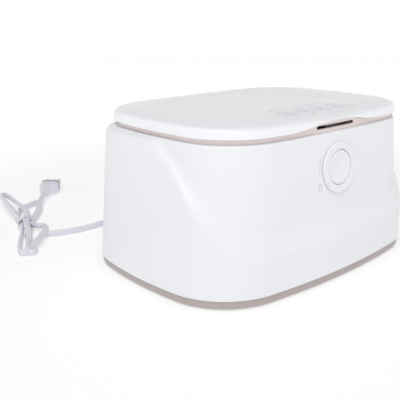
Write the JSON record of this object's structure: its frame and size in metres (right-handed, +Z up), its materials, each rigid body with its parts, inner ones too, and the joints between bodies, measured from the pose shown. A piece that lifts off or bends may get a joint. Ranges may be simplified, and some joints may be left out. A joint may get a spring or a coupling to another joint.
{
  "type": "baby wipe warmer",
  "caption": "Countertop baby wipe warmer: a rounded box with a hinged lid over a heated wipe tank, a round front opening button in a lock ring, and a tied mains lead.",
  "frame": {"origin": "on the table, under the middle of the base (the lead, hank and plug are left out)", "axes": "+Z up; -Y is the front with the round opening button; +X is to the right as seen from the front"},
  "size_m": [0.2816, 0.3788, 0.1238],
  "materials": {
    "white_plastic": "satin",
    "taupe_plastic": "satin",
    "grey_plastic": "satin",
    "key_white": "satin",
    "rubber_grey": "matt",
    "seal_rubber": "matt",
    "white_vinyl": "satin",
    "aluminium_sheet": "brushed",
    "silicone_mat": "matt",
    "felt_pad": "matt",
    "board_green": "satin",
    "part_black": "matt",
    "relay_blue": "satin",
    "terminal_green": "satin",
    "steel_screw": "plated",
    "spring_steel": "drawn",
    "plug_brass": "plated",
    "lead_black": "satin"
  },
  "bodies": {
    "housing": {"body_shell": "white_plastic", "base_plate": "taupe_plastic", "base_screws": "steel_screw", "rubber_foot_front_left": "rubber_grey", "rubber_foot_rear_left": "rubber_grey", "rubber_foot_front_right": "rubber_grey", "rubber_foot_rear_right": "rubber_grey", "wipe_tank": "white_plastic", "warming_plate": "aluminium_sheet", "heater_mat": "silicone_mat", "heater_felt": "felt_pad", "heater_retainer": "grey_plastic", "heater_screws": "steel_screw", "thermal_cutoff": "aluminium_sheet", "thermistor": "part_black", "main_board": "board_green", "power_module": "part_black", "board_relay": "relay_blue", "board_capacitor": "part_black", "terminal_block": "terminal_green", "board_screws": "steel_screw", "heater_leads": "lead_black", "mains_leads": "lead_black", "strain_relief": "white_vinyl", "cord_clamp": "grey_plastic", "clamp_screws": "steel_screw", "top_bezel": "taupe_plastic", "hinge_pin_left": "steel_screw", "hinge_pin_right": "steel_screw", "lid_spring_left": "spring_steel", "lid_spring_right": "spring_steel", "latch_cage": "grey_plastic", "latch_screws": "steel_screw", "latch_spring": "spring_steel", "power_cord": "white_vinyl", "cord_hank": "white_vinyl", "cord_tie": "white_vinyl", "plug_lead": "white_vinyl", "plug_body": "white_vinyl", "plug_blades": "plug_brass"},
    "lid": {"lid_cover": "white_plastic", "lid_liner": "white_plastic", "lid_seal": "seal_rubber", "lid_catch": "white_plastic", "lid_screws": "steel_screw", "control_strip": "white_plastic", "key_board": "board_green"},
    "lock_ring": {"lock_ring": "white_plastic", "lock_cam": "grey_plastic"},
    "button": {"release_button": "white_plastic"},
    "latch": {"latch_slider": "grey_plastic"},
    "key_power": {"key_power": "key_white"},
    "key_warmth": {"key_warmth": "key_white"},
    "key_light": {"key_light": "key_white"},
    "key_timer": {"key_timer": "key_white"}
  },
  "joints": [
    {"name": "lid_hinge", "type": "hinge", "parent": "housing", "child": "lid", "pos_m": [0, 0.0772, 0.1146], "axis": [-1, 0, 0], "range_deg": [0, 90]},
    {"name": "lock_turn", "type": "hinge", "parent": "housing", "child": "lock_ring", "pos_m": [0, -0.08297, 0.0838], "axis": [0, -0.9982, 0.0599], "range_deg": [0, 40]},
    {"name": "button_press", "type": "slide", "parent": "housing", "child": "button", "axis": [0, 0.9982, -0.0599], "range_m": [0, 0.003], "stiffness_N_per_m": 400},
    {"name": "latch_slide", "type": "slide", "parent": "housing", "child": "latch", "axis": [0, 1, 0], "range_m": [0, 0.003], "deforming": ["latch_spring"]},
    {"name": "key_power_press", "type": "slide", "parent": "lid", "child": "key_power", "axis": [0, 0.0663, -0.9978], "range_m": [0, 0.00035], "stiffness_N_per_m": 900},
    {"name": "key_warmth_press", "type": "slide", "parent": "lid", "child": "key_warmth", "axis": [0, 0.0663, -0.9978], "range_m": [0, 0.00035], "stiffness_N_per_m": 900},
    {"name": "key_light_press", "type": "slide", "parent": "lid", "child": "key_light", "axis": [0, 0.0663, -0.9978], "range_m": [0, 0.00035], "stiffness_N_per_m": 900},
    {"name": "key_timer_press", "type": "slide", "parent": "lid", "child": "key_timer", "axis": [0, 0.0663, -0.9978], "range_m": [0, 0.00035], "stiffness_N_per_m": 900}
  ],
  "couplings": [
    {"joint": "latch_slide", "follows": "button_press", "ratio": 1}
  ]
}
